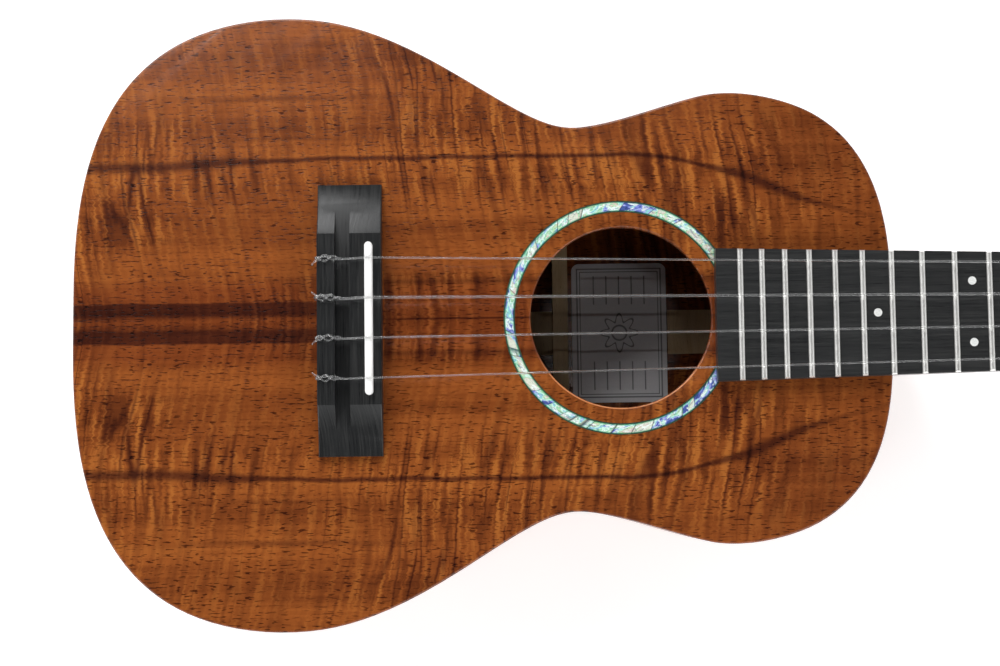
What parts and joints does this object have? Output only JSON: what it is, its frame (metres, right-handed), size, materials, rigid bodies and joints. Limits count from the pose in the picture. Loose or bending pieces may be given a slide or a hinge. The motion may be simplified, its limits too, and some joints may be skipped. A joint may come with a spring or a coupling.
{
  "type": "ukulele",
  "caption": "Tenor ukulele with curly koa body, round soundhole, shell rosette, ebony fretboard and tie bridge, and open-gear tuners that turn.",
  "frame": {"origin": "on the flat back's outer face, on the centre line, straight below the end of the scale at the bridge saddle", "axes": "+X along the strings from bridge to head, +Y across to the G string side, +Z out of the soundboard"},
  "size_m": [0.6835, 0.2316, 0.0822],
  "materials": {
    "koa": "gloss lacquer over curly koa",
    "mahogany": "satin",
    "spruce": "bare, sanded",
    "ebony": "oiled",
    "bone": "polished bone",
    "abalone": "polished shell mosaic",
    "dark_line": "dark dyed wood fibre",
    "pearl": "pearl",
    "paper": "aged paper",
    "fret_metal": "polished nickel silver",
    "steel": "zinc plated",
    "brass": "machined",
    "chrome": "nickel plated",
    "button": "polished black",
    "string": "clear fluorocarbon"
  },
  "bodies": {
    "instrument": {"back_braces": "spruce", "back_centre_strips": "mahogany", "back_linings": "mahogany", "back_plate": "koa", "bridge": "ebony", "bridge_plate": "spruce", "fan_braces": "spruce", "fretboard": "ebony", "frets": "fret_metal", "head_plate": "koa", "heel_cap": "mahogany", "label": "paper", "lower_top_brace": "spruce", "neck": "mahogany", "neck_block": "mahogany", "neck_bolt": "steel", "neck_insert": "brass", "nut": "bone", "plate_screws": "chrome", "position_dots": "pearl", "post_bushings": "chrome", "rib_bass": "koa", "rib_treble": "koa", "rosette": "abalone", "rosette_lines": "dark_line", "saddle": "bone", "side_dots": "pearl", "soundboard": "koa", "string_a": "string", "string_c": "string", "string_e": "string", "string_g": "string", "tail_block": "mahogany", "top_linings": "mahogany", "tuner_plate_a": "chrome", "tuner_plate_c": "chrome", "tuner_plate_e": "chrome", "tuner_plate_g": "chrome", "upper_top_brace": "spruce"},
    "button_and_worm_g": {"tuner_worm_g": "chrome", "tuner_button_g": "button"},
    "post_and_gear_g": {"tuner_post_g": "chrome", "tuner_gear_g": "brass", "string_wraps_g": "string"},
    "button_and_worm_c": {"tuner_worm_c": "chrome", "tuner_button_c": "button"},
    "post_and_gear_c": {"tuner_post_c": "chrome", "tuner_gear_c": "brass", "string_wraps_c": "string"},
    "button_and_worm_e": {"tuner_worm_e": "chrome", "tuner_button_e": "button"},
    "post_and_gear_e": {"tuner_post_e": "chrome", "tuner_gear_e": "brass", "string_wraps_e": "string"},
    "button_and_worm_a": {"tuner_worm_a": "chrome", "tuner_button_a": "button"},
    "post_and_gear_a": {"tuner_post_a": "chrome", "tuner_gear_a": "brass", "string_wraps_a": "string"}
  },
  "joints": [
    {"name": "button_turn_g", "type": "hinge", "parent": "instrument", "child": "button_and_worm_g", "pos_m": [0.47213, 0.0175, 0.04623], "axis": [0, 1, 0], "continuous": true},
    {"name": "post_turn_g", "type": "hinge", "parent": "instrument", "child": "post_and_gear_g", "pos_m": [0.48211, 0.0175, 0.0619], "axis": [0.2079, 0, 0.9781], "continuous": true},
    {"name": "button_turn_c", "type": "hinge", "parent": "instrument", "child": "button_and_worm_c", "pos_m": [0.51713, 0.0175, 0.03667], "axis": [0, 1, 0], "continuous": true},
    {"name": "post_turn_c", "type": "hinge", "parent": "instrument", "child": "post_and_gear_c", "pos_m": [0.5271, 0.0175, 0.05234], "axis": [0.2079, 0, 0.9781], "continuous": true},
    {"name": "button_turn_e", "type": "hinge", "parent": "instrument", "child": "button_and_worm_e", "pos_m": [0.51713, -0.0175, 0.03667], "axis": [0, -1, 0], "continuous": true},
    {"name": "post_turn_e", "type": "hinge", "parent": "instrument", "child": "post_and_gear_e", "pos_m": [0.5271, -0.0175, 0.05234], "axis": [0.2079, 0, 0.9781], "continuous": true},
    {"name": "button_turn_a", "type": "hinge", "parent": "instrument", "child": "button_and_worm_a", "pos_m": [0.47213, -0.0175, 0.04623], "axis": [0, -1, 0], "continuous": true},
    {"name": "post_turn_a", "type": "hinge", "parent": "instrument", "child": "post_and_gear_a", "pos_m": [0.48211, -0.0175, 0.0619], "axis": [0.2079, 0, 0.9781], "continuous": true}
  ],
  "couplings": [
    {"joint": "post_turn_g", "follows": "button_turn_g", "ratio": 0.071429},
    {"joint": "post_turn_c", "follows": "button_turn_c", "ratio": 0.071429},
    {"joint": "post_turn_e", "follows": "button_turn_e", "ratio": -0.071429},
    {"joint": "post_turn_a", "follows": "button_turn_a", "ratio": -0.071429}
  ]
}
